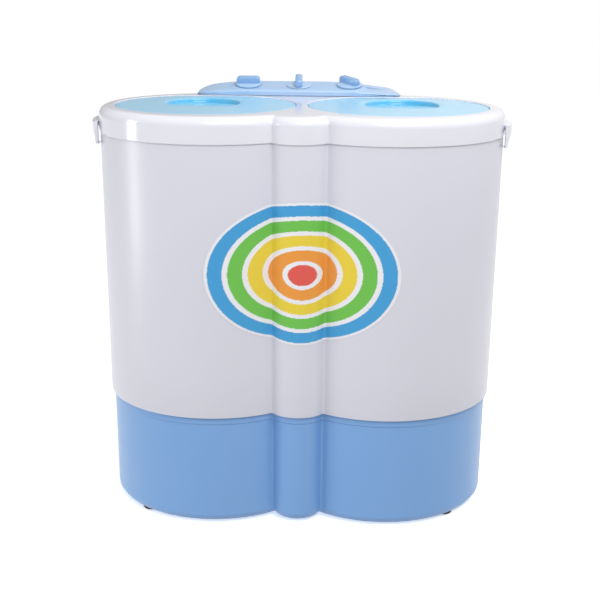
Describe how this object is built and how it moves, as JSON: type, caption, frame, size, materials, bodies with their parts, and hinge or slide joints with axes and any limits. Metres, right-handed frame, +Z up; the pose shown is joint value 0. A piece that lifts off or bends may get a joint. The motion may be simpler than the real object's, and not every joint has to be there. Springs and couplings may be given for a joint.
{
  "type": "twin tub washing machine",
  "caption": "Compact twin tub washer: a wash tub with pulsator and a spin tub with basket side by side under hinged round lids, with timer knobs on a rear panel.",
  "frame": {"origin": "on the floor under the middle of the machine's outline", "axes": "+Z up, front towards -Y, wash tub on the -X side and spin tub on the +X side"},
  "size_m": [0.546, 0.3018, 0.5591],
  "materials": {
    "base_blue": "satin moulded plastic",
    "casing_white": "milky satin plastic",
    "frame_white": "glossy moulded plastic",
    "tub_white": "smooth moulded plastic",
    "lid_cyan": "semi-translucent plastic",
    "panel_blue": "smooth moulded plastic",
    "knob_blue": "smooth moulded plastic",
    "pulsator_blue": "smooth moulded plastic",
    "inner_plastic": "moulded plastic",
    "foot_rubber": "matte rubber",
    "belt_rubber": "matte rubber",
    "pin_steel": "plain steel",
    "cast_metal": "cast",
    "motor_paint": "grey paint"
  },
  "bodies": {
    "housing": {"base_housing": "base_blue", "outer_casing": "casing_white", "top_frame": "frame_white", "twin_tub": "tub_white", "rear_cover": "casing_white", "carry_grip_left": "frame_white", "carry_grip_right": "frame_white", "foot_front_left": "foot_rubber", "foot_front_right": "foot_rubber", "foot_rear_left": "foot_rubber", "foot_rear_right": "foot_rubber", "wash_lid_pin": "pin_steel", "spin_lid_pin": "pin_steel", "control_panel": "panel_blue", "wash_timer": "inner_plastic", "spin_timer": "inner_plastic", "selector_housing": "inner_plastic", "pulsator_bearing": "cast_metal", "drive_belt": "belt_rubber", "wash_motor": "motor_paint", "wash_motor_bracket": "pin_steel", "filter_column": "tub_white", "lint_filter": "pulsator_blue", "shaft_boot": "belt_rubber", "spin_motor": "motor_paint", "spin_motor_plate": "pin_steel", "suspension_spring_1": "pin_steel", "suspension_spring_2": "pin_steel", "suspension_spring_3": "pin_steel", "drain_valve_housing": "inner_plastic", "valve_spring": "pin_steel", "drain_tube": "inner_plastic", "drain_spigot": "inner_plastic", "cord_gland": "belt_rubber", "wash_capacitor": "motor_paint", "spin_capacitor": "motor_paint", "lid_switch": "inner_plastic", "brake_cable": "belt_rubber"},
    "wash_lid": {"wash_lid": "lid_cyan"},
    "spin_lid": {"spin_lid": "lid_cyan"},
    "wash_timer_knob": {"wash_timer_knob": "knob_blue", "wash_timer_spindle": "pin_steel"},
    "spin_timer_knob": {"spin_timer_knob": "knob_blue", "spin_timer_spindle": "pin_steel"},
    "drain_selector": {"selector_knob": "knob_blue", "selector_cam": "inner_plastic"},
    "drain_valve": {"valve_plunger": "belt_rubber", "valve_rod": "inner_plastic"},
    "pulsator": {"pulsator": "pulsator_blue", "pulsator_cap": "pulsator_blue", "pulsator_shaft": "pin_steel", "drive_pulley": "cast_metal"},
    "wash_rotor": {"wash_motor_shaft": "pin_steel", "motor_pulley": "cast_metal"},
    "spin_basket": {"spin_basket": "tub_white", "balance_ring": "pulsator_blue", "basket_shaft": "pin_steel", "brake_drum": "cast_metal"},
    "press_disc": {"press_disc": "pulsator_blue"},
    "brake_lever": {"brake_lever": "pin_steel"}
  },
  "joints": [
    {"name": "wash_lid_hinge", "type": "hinge", "parent": "housing", "child": "wash_lid", "pos_m": [-0.125, 0.1035, 0.5275], "axis": [-1, 0, 0], "range_deg": [0, 95]},
    {"name": "spin_lid_hinge", "type": "hinge", "parent": "housing", "child": "spin_lid", "pos_m": [0.125, 0.1035, 0.5275], "axis": [-1, 0, 0], "range_deg": [0, 95]},
    {"name": "wash_timer_turn", "type": "hinge", "parent": "housing", "child": "wash_timer_knob", "pos_m": [-0.078, 0.1295, 0.544], "axis": [0, 0.2079, -0.9781], "range_deg": [0, 330]},
    {"name": "spin_timer_turn", "type": "hinge", "parent": "housing", "child": "spin_timer_knob", "pos_m": [0.064, 0.1295, 0.544], "axis": [0, 0.2079, -0.9781], "range_deg": [-45, 255]},
    {"name": "drain_selector_turn", "type": "hinge", "parent": "housing", "child": "drain_selector", "pos_m": [-0.007, 0.1295, 0.544], "axis": [0, 0.2079, -0.9781], "range_deg": [0, 90]},
    {"name": "drain_valve_lift", "type": "slide", "parent": "housing", "child": "drain_valve", "axis": [0, 0, 1], "range_m": [0, 0.009], "deforming": ["valve_spring"]},
    {"name": "pulsator_spin", "type": "hinge", "parent": "housing", "child": "pulsator", "pos_m": [-0.125, 0, 0.15], "axis": [0, 0, 1], "continuous": true},
    {"name": "wash_motor_spin", "type": "hinge", "parent": "housing", "child": "wash_rotor", "pos_m": [-0.03, 0.025, 0.1], "axis": [0, 0, 1], "continuous": true},
    {"name": "basket_spin", "type": "hinge", "parent": "housing", "child": "spin_basket", "pos_m": [0.125, 0, 0.15], "axis": [0, 0, 1], "continuous": true},
    {"name": "press_disc_slide", "type": "slide", "parent": "spin_basket", "child": "press_disc", "axis": [0, 0, 1], "range_m": [-0.17, 0]},
    {"name": "brake_lever_turn", "type": "hinge", "parent": "housing", "child": "brake_lever", "pos_m": [0.172, 0.044, 0.12], "axis": [0, 0, 1], "range_deg": [-2.2, 0]}
  ],
  "couplings": [
    {"joint": "drain_valve_lift", "follows": "drain_selector_turn", "m_per_rad": 0.0057},
    {"joint": "wash_motor_spin", "follows": "pulsator_spin", "ratio": 4},
    {"joint": "brake_lever_turn", "follows": "spin_lid_hinge", "ratio": -0.0231}
  ]
}
